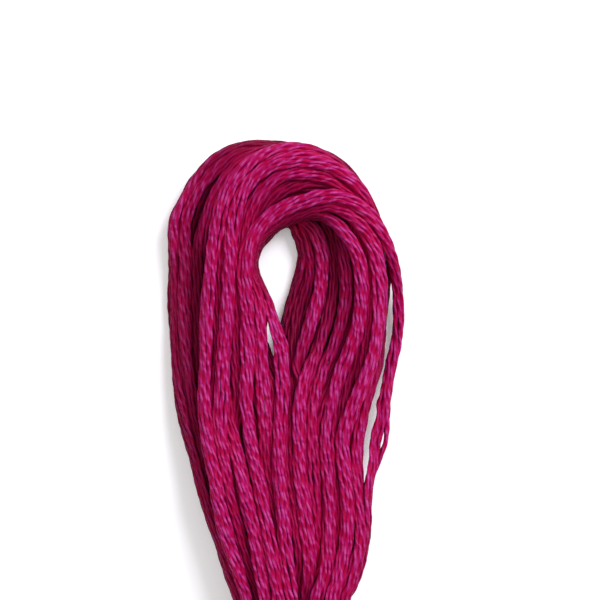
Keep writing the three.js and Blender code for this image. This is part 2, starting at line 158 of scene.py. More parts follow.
        (252, 600, 4.8), (243, 560, 3.8), (233, 510, 2.4), (222, 470, 1.4), (214, 430, 0.75), (213, 390, 0.65),
        (215, 345, 0.62), (217.5, 303, 0.62), (220, 265, 0.62), (223, 237, 0.7), (229, 207, 1.0),
        (241, 185, 1.3), (260, 173, 1.6), (286, 172, 1.9), (310, 181, 2.1), (326, 197, 2.2), (336, 214, 2.0),
        (341, 235, 1.8), (343.5, 253, 1.65), (345, 272, 1.55), (345.5, 292, 1.5), (343, 312, 1.45),
        (338.5, 333, 1.4), (331, 352, 1.2), (322, 369, 0.9), (315.5, 388, 0.4), (312, 410, 0.15),
        (311, 435, 0.1), (311, 460, 0.1), (311.5, 485, 0.1), (314, 508, 0.15), (316, 530, 0.2),
        (316, 552, 0.45), (312, 575, 1.3), (308, 600, 2.3)],
    "eye_side": [
        (290, 600, 2.9), (283, 560, 2.2), (277, 510, 1.5), (273.5, 460, 1.0), (272.5, 420, 0.85),
        (272.5, 385, 0.9), (269.5, 360, 1.3), (260, 332, 2.0), (251, 302, 2.8), (250, 270, 3.2),
        (257, 243, 3.2), (269, 229, 3.2), (281, 221, 3.2), (291, 222, 3.2), (296.5, 233, 3.1), (301, 244, 3.0),
        (302.5, 254, 3.0), (301, 266, 3.0), (297, 278, 3.1), (293.5, 290, 3.1), (290, 302, 3.1),
        (286.5, 316, 2.9), (283, 334, 2.6), (279.5, 356, 2.3), (278, 385, 2.1), (280, 425, 2.0), (284, 470, 2.0),
        (292, 530, 2.2), (298, 600, 3.0)],
}
# Where a turn lies in full view, as d from and to, on the left and on the right leg or crown.
SHOWN = {
    "edge": ((600, 140), None), "band": ((520, 150), None), "under_band": ((245, 146), None),
    "left_one": ((600, 140), (600, 385)), "left_two": ((545, 150), None), "crown_one": ((340, 165), None),
    "crown_two": ((248, 175), None), "rim_and_slack": ((600, 190), (520, 190)), "rim_under": ((425, 310), (600, 200)),
    "crossing": ((600, 300), (600, 205)), "rising": ((600, 430), (372, 215)), "inner_mid": (None, (570, 245)),
    "inner_one": (None, (560, 215)), "mid_back": ((435, 235), (555, 235)), "eye_side": ((470, 365), (340, 215)),
}
# The turns that stay inside: how far across (0 inner edge, 1 outer edge) and how high (0 floor,
# 1 top) on the left leg, at the crown and on the right leg.
INSIDE = [
    # left        crown       right
    ((.55, .60), (.55, .55), (.66, .42)),
    ((.38, .62), (.38, .50), (.78, .50)),
    ((.80, .32), (.82, .36), (.56, .28)),
    ((.62, .38), (.64, .35), (.82, .28)),
    ((.92, .16), (.90, .18), (.84, .08)),
    ((.70, .12), (.72, .12), (.70, .15)),
    ((.50, .12), (.50, .12), (.44, .02)),
    ((.31, .16), (.28, .20), (.30, .02)),
    ((.12, .12), (.14, .12), (.11, .02)),
]
# Edges of the two legs at each d, and of the crown at each angle about its middle.
LEG_D = (262, 300, 350, 400, 450, 500, 550, 600)
LEFT_OUT = (167, 167, 170, 174, 184, 199, 214, 231)
LEFT_IN = (256, 259, 262, 270, 274, 281, 288, 296)
RIGHT_OUT = (388, 387, 382, 374, 366, 370, 366, 350)
RIGHT_IN = (296, 285, 277, 276, 278, 284, 291, 296)
CROWN_MIDDLE = (279, 262)
CROWN_ANGLE = (150, 120, 90, 60, 30)
CROWN_IN = (24, 29, 36, 30, 24)
CROWN_OUT = (117, 122, 119, 118, 110)
# Height of the top turns' middles at each d.
TOP_D = (140, 300, 360, 420, 480, 540, 600)
TOP_Z = (3.85, 3.85, 3.95, 4.25, 4.8, 5.45, 6.1)


def top(d):
    return float(np.interp(d, TOP_D, TOP_Z))


def place(u, d, z):
    return ((u - DATUM_U) / 10, (DATUM_D - d) / 10, z)


def shown_turn(name):
    """Points, and how firmly each is held, of a turn of the tables."""
    rows = TURNS[name]
    crown = min(range(len(rows)), key=lambda i: rows[i][1])
    points, hold = [], []
    for i, (u, d, k) in enumerate(rows):
        points.append(place(u, d, max(0.42, top(d) - k * LAYER)))
        span = SHOWN[name][0 if i <= crown else 1] or (0, 0)
        if i > crown and SHOWN[name][1] is None and SHOWN[name][0] and k < 0.7:
            span = (250, 100)
        hold.append(1.0 if span[1] <= d <= span[0] else 0.25)
    return points, hold


def inside_turn(left, crown, right):
    points = []
    rise = lambda z, d: 0.45 + z * (top(d) - 0.45)
    for d in reversed(LEG_D):
        a, b = np.interp(d, LEG_D, LEFT_IN), np.interp(d, LEG_D, LEFT_OUT)
        points.append(place(a + (b - a) * left[0], d, rise(left[1], d)))
    for i, degrees in enumerate(CROWN_ANGLE):
        t = i / (len(CROWN_ANGLE) - 1)
        f = np.interp(t, (0, .5, 1), (left[0], crown[0], right[0]))
        z = np.interp(t, (0, .5, 1), (left[1], crown[1], right[1]))
        r = CROWN_IN[i] + (CROWN_OUT[i] - CROWN_IN[i]) * f
        a = math.radians(degrees)
        points.append(place(CROWN_MIDDLE[0] + r * math.cos(a), CROWN_MIDDLE[1] - r * math.sin(a), rise(z, 200)))
    for d in LEG_D:
        a, b = np.interp(d, LEG_D, RIGHT_IN), np.interp(d, LEG_D, RIGHT_OUT)
        points.append(place(a + (b - a) * right[0], d, rise(right[1], d)))
    return points, [0.06] * len(points)


def smooth_route(points, values, spacing):
    """A Catmull-Rom curve through the points, cut to even steps; values go with it."""
    p = np.asarray(points, float)
    v = np.asarray(values, float)
    ends = lambda a: np.vstack([2 * a[:1] - a[1:2], a, 2 * a[-1:] - a[-2:-1]])
    q = ends(np.column_stack([p, v]))
    out = []
    for i in range(1, len(q) - 2):
        n = max(2, int(np.linalg.norm(q[i + 1, :3] - q[i, :3]) / (spacing * 0.2)))
        t = np.linspace(0, 1, n, endpoint=False)[:, None]
        a, b, c, e = q[i - 1], q[i], q[i + 1], q[i + 2]
        curve = 0.5 * (2 * b + (c - a) * t + (2 * a - 5 * b + 4 * c - e) * t ** 2 + (3 * b - a - 3 * c + e) * t ** 3)
        curve[:, 3:] = b[3:] + (c[3:] - b[3:]) * t
        out.append(curve)
    out.append(q[-2:-1])
    out = np.vstack(out)
    s = np.concatenate([[0], np.cumsum(np.linalg.norm(np.diff(out[:, :3], axis=0), axis=1))])
    at = np.linspace(0, s[-1], max(2, int(round(s[-1] / spacing)) + 1))
    return np.column_stack([np.interp(at, s, out[:, i]) for i in range(out.shape[1])])


def wind():
    """The whole cord as one route: every turn, joined through the gathered run and the far end."""
    turns = [shown_turn(n) for n in TURNS] + [inside_turn(*row) for row in INSIDE]
    n = len(turns)
    starts = [np.array(t[0][0]) for t in turns]
    ends_ = [np.array(t[0][-1]) for t in turns]
    reach_left = np.array([max(0.0, RUN_MIDDLE - p[0]) for p in starts])
    reach_right = np.array([max(0.0, p[0] - RUN_MIDDLE) for p in ends_])
    left_rank = list(np.argsort(reach_left, kind="stable"))
    right_rank = list(np.argsort(reach_right, kind="stable"))
    follow = {right_rank[i]: left_rank[i] for i in range(n)}
    # one cord, not several rings: neighbours swap until a single winding goes through every turn
    def ring_of(i):
        seen = [i]
        while follow[seen[-1]] != i:
            seen.append(follow[seen[-1]])
        return seen
    for i in range(n - 1):
        a, b = right_rank[i], right_rank[i + 1]
        if b not in ring_of(a):
            follow[a], follow[b] = follow[b], follow[a]
    order = ring_of(len(TURNS) + 1)
    route, hold, number = [], [], []

    def add(points, holds, tag):
        for p, h in zip(points, holds):
            route.append(tuple(p)); hold.append(h); number.append(tag)

    run_y = (26.5, 20.0, 8.0, -6.0, -20.0, -34.0, -46.0, -55.0)
    run_wide = (0.92, 0.89, 0.89, 0.90, 0.92, 0.95, 1.0, 1.0)
    start = starts[order[0]]
    add([(start[0], y, start[2]) for y in (-34.0, -20.0, -6.0, 8.0, 22.0)], [0.05] * 5, order[0])
    for place_in, i in enumerate(order):
        j = order[(place_in + 1) % n]
        add(*turns[i], i)
        a, b = ends_[i], starts[j]
        r_a = FAR_IN + (FAR_OUT - FAR_IN) * min(1.0, reach_right[i] / 5.6)
        r_b = FAR_IN + (FAR_OUT - FAR_IN) * min(1.0, reach_left[j] / 5.6)
        last = place_in == n - 1
        z_a, z_b = a[2], b[2]
        for y, wide in zip(run_y, run_wide):
            open_up = max(0.0, min(1.0, (-42.0 - y) / 24.0))
            x = RUN_MIDDLE + (a[0] - RUN_MIDDLE) * wide
            x += (RUN_MIDDLE + r_a - x) * open_up
            z = z_a * (1 - 0.22 * max(0.0, min(1.0, (-30 - y) / 30)))
            add([(x, y, z)], [0.05], i)
            if last and y < -30:
                break
        if last:
            break
        for degrees in (0, -30, -60, -90, -120, -150, -180):
            t = -degrees / 180
            r = r_a + (r_b - r_a) * t
            w = math.radians(degrees)
            z = (z_a + (z_b - z_a) * t) * 0.70
            add([(RUN_MIDDLE + r * math.cos(w), FAR_Y + r * math.sin(w), z)], [0.10], i)
        for y, wide in zip(reversed(run_y), reversed(run_wide)):
            open_up = max(0.0, min(1.0, (-42.0 - y) / 24.0))
            x = RUN_MIDDLE + (b[0] - RUN_MIDDLE) * wide
            x += (RUN_MIDDLE - r_b - x) * open_up
            z = z_b * (1 - 0.22 * max(0.0, min(1.0, (-30 - y) / 30)))
            add([(x, y, z)], [0.05], j)
    rows = smooth_route(route, np.column_stack([hold, number]), STEP)
    return rows[:, :3], rows[:, 3], np.rint(rows[:, 4]).astype(int)


def close_pairs(p, radius):
    """Every pair of points closer than radius, by cells of that size."""
    cell = np.floor((p - p.min(0)) / radius).astype(np.int64) + 1
    ny, nz = cell[:, 1].max() + 3, cell[:, 2].max() + 3
    key = (cell[:, 0] * ny + cell[:, 1]) * nz + cell[:, 2]
    order = np.argsort(key, kind="stable")
    keys = key[order]
    firsts, seconds = [], []
    for dx in (-1, 0, 1):
        for dy in (-1, 0, 1):
            for dz in (-1, 0, 1):
                step = (dx * ny + dy) * nz + dz
                if step < 0:
                    continue
                low = np.searchsorted(keys, keys + step, "left")
                high = np.searchsorted(keys, keys + step, "right")
                count = high - low
                total = int(count.sum())
                if not total:
                    continue
                a = np.repeat(np.arange(len(keys)), count)
                b = np.arange(total) - np.repeat(np.cumsum(count) - count, count) + np.repeat(low, count)
                if step == 0:
                    keep = a < b
                    a, b = a[keep], b[keep]
                a, b = order[a], order[b]
                near = ((p[a] - p[b]) ** 2).sum(1) < radius * radius
                firsts.append(a[near]); seconds.append(b[near])
    return np.concatenate(firsts), np.concatenate(seconds)


def tangents(p):
    t = np.empty_like(p)
    t[1:-1] = p[2:] - p[:-2]
    t[0], t[-1] = p[1] - p[0], p[-1] - p[-2]
    return t / np.maximum(np.linalg.norm(t, axis=1, keepdims=True), 1e-9)


def settle_cord(p0, hold, rounds=130):
    """Presses the turns against each other: flat ovals, wider in the plane than high."""
    p = p0.copy()
    squash = np.array([1.0, 1.0, CORD_WIDE / CORD_HIGH])
    index = np.arange(len(p))
    give = 1.0 - 0.85 * hold
    for k in range(rounds):
        if k % 6 == 0:
            a, b = close_pairs(p * squash, CORD_WIDE * 1.25)
            apart = np.abs(index[a] - index[b]) > 6
            a, b = a[apart], b[apart]
        t = tangents(p)
        d = (p[a] - p[b])
        ta = t[a] + np.sign((t[a] * t[b]).sum(1, keepdims=True)) * t[b]
        ta /= np.maximum(np.linalg.norm(ta, axis=1, keepdims=True), 1e-9)
        along = (d * ta).sum(1)
        d = (d - along[:, None] * ta) * squash
        gap = np.linalg.norm(d, axis=1)
        # a little of the length counts, so that a pair stops pushing as it slides out of step
        near = (gap < CORD_WIDE) & (np.abs(along) < STEP * 0.75)
        d, gap, ia, ib = d[near], gap[near], a[near], b[near]
        push = (d / np.maximum(gap, 1e-6)[:, None]) * ((CORD_WIDE - gap) * 0.42)[:, None] / squash
        share = give[ia] / (give[ia] + give[ib])
        move = np.zeros_like(p)
        count = np.zeros(len(p))
        for axis in range(3):
            move[:, axis] += np.bincount(ia, push[:, axis] * share, len(p))
            move[:, axis] -= np.bincount(ib, push[:, axis] * (1 - share), len(p))
        count += np.bincount(ia, minlength=len(p)) + np.bincount(ib, minlength=len(p))
        p += move / np.maximum(1.0, count * 0.5)[:, None]
        off = p - p0
        for _ in range(3):
            mean = off.copy()
            mean[1:-1] = 0.5 * (off[2:] + off[:-2])
            off += 0.5 * (mean - off)
        off[:, :2] *= (1 - 0.30 * hold - 0.002)[:, None]
        off[:, 2] *= 1 - 0.06 * hold
        p = p0 + off
        p[:, 2] = np.maximum(p[:, 2] - 0.002, CORD_HIGH / 2)
    return p


def frames_of(p):
    t = tangents(p)
    side = np.cross([0.0, 0.0, 1.0], t)
    side /= np.maximum(np.linalg.norm(side, axis=1, keepdims=True), 1e-9)
    return t, side, np.cross(t, side)


def wave(s, pitch, seed, count=4):
    """A smooth wander along s, about -1 to 1, the same for the same seed."""
    rng = np.random.default_rng(seed)
    out = np.zeros_like(s)
    for i in range(count):
        out += np.sin(2 * math.pi * s / (pitch * rng.uniform(0.6, 1.7)) + rng.uniform(0, 2 * math.pi))
    return out / count


def outward_of(cord):
    """The way out of the bundle at each point, square to the cord and smooth along it."""
    index = np.arange(len(cord))
    a, b = close_pairs(cord, 2.6)
    apart = np.abs(index[a] - index[b]) > 8
    a, b = a[apart], b[apart]
    d = cord[a] - cord[b]
    d /= np.maximum((d ** 2).sum(1, keepdims=True), 0.3)
    out = np.zeros_like(cord)
    for axis in range(3):
        out[:, axis] = np.bincount(a, d[:, axis], len(cord)) - np.bincount(b, d[:, axis], len(cord))
    out[:, 2] += 1.2
    t = tangents(cord)
    for _ in range(24):
        mean = out.copy()
        mean[1:-1] = 0.5 * (out[2:] + out[:-2])
        out = 0.5 * (out + mean)
    out -= (out * t).sum(1, keepdims=True) * t
    return out / np.maximum(np.linalg.norm(out, axis=1, keepdims=True), 1e-9)


# Where the six strands lie across a turn, as it goes once round: five over the top, one beneath.
ACROSS = (-0.59, -0.31, 0.0, 0.31, 0.59, 0.0, -0.59)
RAISED = (-0.19, 0.07, 0.17, 0.07, -0.19, -0.21, -0.19)
# The same where the slack turn opens: across and raised, from its left to its right.
PARTED = ((-0.80, 0.10), (-0.61, -0.16), (-0.42, 0.10), (-0.28, -0.16), (0.50, 0.10), (0.66, -0.16))


def looseness(cord, turn_no):
    """Where the slack turn hangs free of the others down the right, and where it opens in two."""
    u, d = cord[:, 0] * 10 + DATUM_U, DATUM_D - cord[:, 1] * 10
    slack = (turn_no == list(TURNS).index("rim_and_slack")) & (u > 360)
    free = np.where(slack, np.interp(d, (235, 265, 375, 410, 480, 510), (0, 1, 1, 0.35, 0.25, 0)), 0.0)
    parted = np.where(slack, np.interp(d, (412, 434, 446, 464), (0, 1, 1, 0)), 0.0)
    for _ in range(3):
        for row in (free, parted):
            row[1:-1] = 0.5 * row[1:-1] + 0.25 * (row[2:] + row[:-2])
    return slack, free, parted


def lay_strands(cord, turn_no):
    """Six strands laid over each other in a flat dome along the settled cord."""
    s = np.arange(len(cord)) * STEP
    d = DATUM_D - cord[:, 1] * 10
    slack, free, parted = looseness(cord, turn_no)
    t = tangents(cord)
    up = outward_of(cord)
    side = np.cross(up, t)
    roll = s / 46.0 + 0.16 * wave(s, 30.0, 3)
    wide = 1.0 + 0.16 * wave(s, 17.0, 5)
    # the turn as a whole sways a little to its sides and rises and sinks
    sway, lift = 0.14 * wave(s, 16.0, 31) * (1 - free), 0.20 * wave(s, 21.0, 33) * (1 - free)
    level_side = np.cross([0.0, 0.0, 1.0], t)
    level_side /= np.maximum(np.linalg.norm(level_side, axis=1, keepdims=True), 1e-9)
    offsets = []
    for j in range(STRANDS):
        at = (j / 6 + roll + 0.05 * wave(s, 10.0, 20 + j)) % 1.0 * 6
        x = np.interp(at, range(7), ACROSS) * wide + 0.12 * wave(s, 8.5, 40 + j) + 0.04 * wave(s, 3.2, 50 + j)
        y = np.interp(at, range(7), RAISED) + 0.07 * wave(s, 4.5, 60 + j)
        for _ in range(2):
            x[1:-1] = 0.5 * x[1:-1] + 0.25 * (x[2:] + x[:-2])
            y[1:-1] = 0.5 * y[1:-1] + 0.25 * (y[2:] + y[:-2])
        offsets.append((x * (1 - 0.45 * free) + sway, y * (1 + 0.7 * free) + lift))
    # where the slack turn opens, four strands keep to its left and two to its right
    order = list(np.argsort([x[np.argmax(parted)] for x, y in offsets]))
    strands = []
    for j, (x, y) in enumerate(offsets):
        apart, lift = PARTED[order.index(j)]
        strand = cord + side * x[:, None] + up * y[:, None]
        split = cord + level_side * apart + np.array([0.0, 0.0, 1.0]) * lift
        strand += (split - strand) * parted[:, None]
        if order.index(j) == 0:
            strand -= level_side * (0.26 * np.where(slack, np.exp(-((d - 404) / 7.0) ** 2), 0.0))[:, None]
        strands.append(strand)
    return np.stack(strands)   # strand, point, xyz


def settle_strands(strands, rounds=36):
    n, m, _ = strands.shape
    p0 = strands.reshape(-1, 3)
    p = p0.copy()
    for k in range(rounds):
        if k % 6 == 0:
            a, b = close_pairs(p, 0.62)
        t = tangents_of_all(p.reshape(n, m, 3)).reshape(-1, 3)
        d = p[a] - p[b]
        ta = t[a] + np.sign((t[a] * t[b]).sum(1, keepdims=True)) * t[b]
        ta /= np.maximum(np.linalg.norm(ta, axis=1, keepdims=True), 1e-9)
        along = (d * ta).sum(1)
        d -= along[:, None] * ta
        gap = np.linalg.norm(d, axis=1)
        same = (a // m == b // m) & (np.abs(a - b) < 3)
        near = (gap < STRAND) & (np.abs(along) < STEP * 0.7) & ~same
        dn, g, ia, ib = d[near], gap[near], a[near], b[near]
        push = dn / np.maximum(g, 1e-6)[:, None] * ((STRAND - g) * 0.4)[:, None]
        move = np.zeros_like(p)
        for axis in range(3):
            move[:, axis] += np.bincount(ia, push[:, axis], len(p)) - np.bincount(ib, push[:, axis], len(p))
        count = np.bincount(ia, minlength=len(p)) + np.bincount(ib, minlength=len(p))
        p += move / np.maximum(1.0, count * 0.5)[:, None]
        off = (p - p0).reshape(n, m, 3)
        for _ in range(2):
            mean = off.copy()
            mean[:, 1:-1] = 0.5 * (off[:, 2:] + off[:, :-2])
            off += 0.5 * (mean - off)
        p = p0 + off.reshape(-1, 3) * 0.985
        p[:, 2] = np.maximum(p[:, 2], SOLE)
    return p.reshape(n, m, 3)


def tangents_of_all(p):
    t = np.empty_like(p)
    t[:, 1:-1] = p[:, 2:] - p[:, :-2]
    t[:, 0], t[:, -1] = p[:, 1] - p[:, 0], p[:, -1] - p[:, -2]
    return t / np.maximum(np.linalg.norm(t, axis=2, keepdims=True), 1e-9)


def seen_from(points, direction, cell=0.12, slack=0.16):
    """Which points are at the skin as seen from far off along direction."""
    w = np.array(direction, float)
    w /= np.linalg.norm(w)
    u = np.cross(w, [0.0, 0.0, 1.0] if abs(w[2]) < 0.9 else [0.0, 1.0, 0.0])
    u /= np.linalg.norm(u)
    v = np.cross(w, u)
    x, y, z = points @ u, points @ v, points @ w
    ix = ((x - x.min()) / cell).astype(int) + 3
    iy = ((y - y.min()) / cell).astype(int) + 3
    top_of = np.full((ix.max() + 4, iy.max() + 4), -1e9)
    r = STRAND / 2
    for dx in (-1, 0, 1):
        for dy in (-1, 0, 1):
            h = z + math.sqrt(max(0.0, r * r - (dx * dx + dy * dy) * (cell * 0.8) ** 2 * 0.5))
            np.maximum.at(top_of, (ix + dx, iy + dy), h)
    best = np.full(len(z), 1e9)
    for dx, dy in ((0, 0), (1, 0), (-1, 0), (0, 1), (0, -1)):
        best = np.minimum(best, top_of[ix + dx, iy + dy])
    return z + r > best - slack


def rise_between(p, at):
    """Catmull-Rom through the rows of p at the fractional row numbers at."""
    i = np.clip(np.floor(at).astype(int), 0, len(p) - 2)
    t = (at - i)[:, None]
    a, b, c, e = p[np.maximum(i - 1, 0)], p[i], p[i + 1], p[np.minimum(i + 2, len(p) - 1)]
    return 0.5 * (2 * b + (c - a) * t + (2 * a - 5 * b + 4 * c - e) * t ** 2 + (3 * b - a - 3 * c + e) * t ** 3)


def rings_needed(strands):
    """Which points of which strands show in the near view (2), from elsewhere (1), or never (0)."""
    n, m, _ = strands.shape
    fine = np.stack([rise_between(s, np.arange(0, m - 1, 0.25)) for s in strands])
    flat = fine.reshape(-1, 3)
    near = seen_from(flat, (0, 0, 1)) & (flat[:, 1] > 29.0)
    out = np.where(near, 2, 0)
    for w in ((0, 0, 1), (0, 0, -1), (1, 0, 0.15), (-1, 0, 0.15), (0, 1, 0.15), (0, -1, 0.15), (1, 0, 1), (-1, 0, 1),
              (0, 1, 1), (0, -1, 1), (1, 1, 0.7), (1, -1, 0.7), (-1, 1, 0.7), (-1, -1, 0.7), (1, 0, -1), (-1, 0, -1)):
        out = np.maximum(out, seen_from(flat, w) * 1)
    per = out.reshape(n, -1, 4).max(axis=2)
    level = np.zeros((n, m), int)
    level[:, :per.shape[1]] = per
    wide = level.copy()
    for shift in (1, 2):
        wide[:, shift:] = np.maximum(wide[:, shift:], level[:, :-shift])
        wide[:, :-shift] = np.maximum(wide[:, :-shift], level[:, shift:])
    return wide


def crowding(strands, reach=1.25):
    """How full the space round each point of each strand is, and which way the fullness lies."""
    p = strands.reshape(-1, 3)
    a, b = close_pairs(p, reach)
    d = p[b] - p[a]
    weight = 1 - (d ** 2).sum(1) / reach ** 2
    full = np.bincount(a, weight, len(p)) + np.bincount(b, weight, len(p))
    toward = np.stack([np.bincount(a, weight * d[:, i], len(p)) - np.bincount(b, weight * d[:, i], len(p))
                       for i in range(3)], axis=1)
    most = np.percentile(full, 90)
    out = np.column_stack([full / most, toward / most]).reshape(*strands.shape[:2], 4)
    for _ in range(2):
        out[:, 1:-1] = 0.5 * out[:, 1:-1] + 0.25 * (out[:, 2:] + out[:, :-2])
    return out


def valleys(strands, reach, cell, blur):
    """How far each point of each strand lies below the highest strand within reach, in mm."""
    fine = np.concatenate([rise_between(s, np.arange(0, len(s) - 1, 0.25)) for s in strands])
    low = fine.min(0) - 1
    shape = ((fine.max(0) + 1 - low) / cell).astype(int)[:2] + 1
    top_of = np.zeros(shape)
    i = ((fine - low) / cell).astype(int)
    np.maximum.at(top_of, (i[:, 0], i[:, 1]), fine[:, 2])
    n = int(reach / cell)
    for axis in (0, 1):
        top_of = np.max([np.roll(top_of, k, axis) for k in range(-n, n + 1)], axis=0)
    for axis in (0, 1):
        top_of = np.mean([np.roll(top_of, k, axis) for k in range(-blur, blur + 1)], axis=0)
    i = ((strands - low) / cell).astype(int)
    drop = top_of[i[..., 0], i[..., 1]] - strands[..., 2]
    for _ in range(2):
        drop[:, 1:-1] = 0.5 * drop[:, 1:-1] + 0.25 * (drop[:, 2:] + drop[:, :-2])
    return drop


SECTION = np.array([0.236, 0.212, 0.174, 0.212, 0.236, 0.212, 0.174, 0.212])   # a strand's two plies


def draw_strand(path, level, crowd, drop, flank, number):
    """Rings and faces of one two-ply strand; fine rings where it shows and few where it doesn't."""
    base = PLY_PITCH / 12
    length = (len(path) - 1) * STEP
    count = int(length / base)
    grid = np.arange(count + 1)
    at = np.minimum(grid * base / STEP, len(path) - 1.001)
    lv = level[np.clip(np.rint(at).astype(int), 0, len(path) - 1)]
    keep = (lv == 2) | ((lv == 1) & (grid % 2 == 0)) | (grid % 10 == 0)
    keep[[0, -1]] = True
    grid, at = grid[keep], at[keep]
    centre = rise_between(path, at)
    fwd = rise_between(path, np.minimum(at + 0.05, len(path) - 1)) - rise_between(path, np.maximum(at - 0.05, 0))
    fwd /= np.maximum(np.linalg.norm(fwd, axis=1, keepdims=True), 1e-9)
    side = np.cross([0.0, 0.0, 1.0], fwd)
    side /= np.maximum(np.linalg.norm(side, axis=1, keepdims=True), 1e-9)
    up = np.cross(fwd, side)
    s = grid * base
    phase = -2 * math.pi * (s + 0.8 * wave(s, 9.0, 100 + number) + 0.2 * wave(s, 4.0, 110 + number)) / PLY_PITCH + number * 1.31
    swell = 1 + 0.10 * wave(s, 5.0, 120 + number) + 0.08 * wave(s, 2.3, 130 + number)
    k = len(SECTION)
    a = phase[:, None] + 2 * math.pi * np.arange(k) / k
    r = SECTION[None, :] * swell[:, None]
    out = side[:, None] * np.cos(a)[..., None] + up[:, None] * np.sin(a)[..., None]
    ring = centre[:, None] + out * r[..., None]
    # 0 on an open crest, 1 down between strands that touch
    c = rise_between(crowd, at)
    depth = c[:, None, 0] + 0.9 * (out * c[:, None, 1:]).sum(axis=2)
    n = len(grid)
    i = (np.arange(n - 1) * k)[:, None]
    j = np.arange(k)[None, :]
    faces = np.stack([i + j, i + (j + 1) % k, i + k + (j + 1) % k, i + k + j], axis=2).reshape(-1, 4)
    # the loops' own around, so that it runs on from 7/8 to 1 and doesn't turn back
    face_around = np.broadcast_to(np.stack([j, j + 1, j + 1, j], axis=2) / k, (n - 1, k, 4))
    face_along = np.stack([s[:-1], s[:-1], s[1:], s[1:]], axis=1)[:, None, :].repeat(k, axis=1)
    uv = np.stack([face_along / 10.0, face_around], axis=3).reshape(-1, 2)
    # cut square at both ends
    first, last = np.arange(k), (n - 1) * k + np.arange(k)
    faces = np.vstack([faces, first[[3, 2, 1, 0]], first[[7, 4, 3, 0]], first[[7, 6, 5, 4]],
                       last[[0, 1, 2, 3]], last[[0, 3, 4, 7]], last[[4, 5, 6, 7]]])
    uv = np.vstack([uv, np.tile([(0.0, 0.0), (0.0, 0.125), (0.02, 0.125), (0.02, 0.0)], (6, 1))])
    rows = np.arange(len(drop))
    shades = {"depth": depth.ravel(), "below": np.repeat(np.interp(at, rows, drop), k),
              "flank": np.repeat(np.interp(at, rows, flank), k)}
    return ring.reshape(-1, 3), faces, uv, shades


def make_piece(name, verts, faces, uv, shades, material):
    mesh = bpy.data.meshes.new(name)
    mesh.vertices.add(len(verts))
    mesh.vertices.foreach_set("co", (verts * MM).astype(np.float32).ravel())
    mesh.loops.add(faces.size)
    mesh.loops.foreach_set("vertex_index", faces.astype(np.int32).ravel())
    mesh.polygons.add(len(faces))
    mesh.polygons.foreach_set("loop_start", np.arange(0, faces.size, 4, dtype=np.int32))
    mesh.polygons.foreach_set("loop_total", np.full(len(faces), 4, dtype=np.int32))
    layer = mesh.uv_layers.new(name="strand")
    layer.data.foreach_set("uv", uv.astype(np.float32).ravel())
    for label, values in shades.items():
        mesh.attributes.new(name=label, type="FLOAT", domain="POINT")
        mesh.attributes[label].data.foreach_set("value", values.astype(np.float32))
    mesh.update(calc_edges=True)
    mesh.validate()
    mesh.polygons.foreach_set("use_smooth", np.ones(len(mesh.polygons), dtype=bool))
    mesh.materials.append(material)
    piece = bpy.data.objects.new(name, mesh)
    bpy.context.scene.collection.objects.link(piece)
    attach(piece, "root")
    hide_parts("skein")
    return piece


# Where along the depth attribute the open crests end and the deep grooves begin, for the painted sheen and the painted
# bounce light.
OPEN = (0.35, 0.62)
DEEP = (0.68, 1.0)
# Where a strand counts as down in a valley, in mm below the turns beside it, for the painted shade.
VALLEY = (0.30, 2.0)
FLANK = (0.15, 0.65)


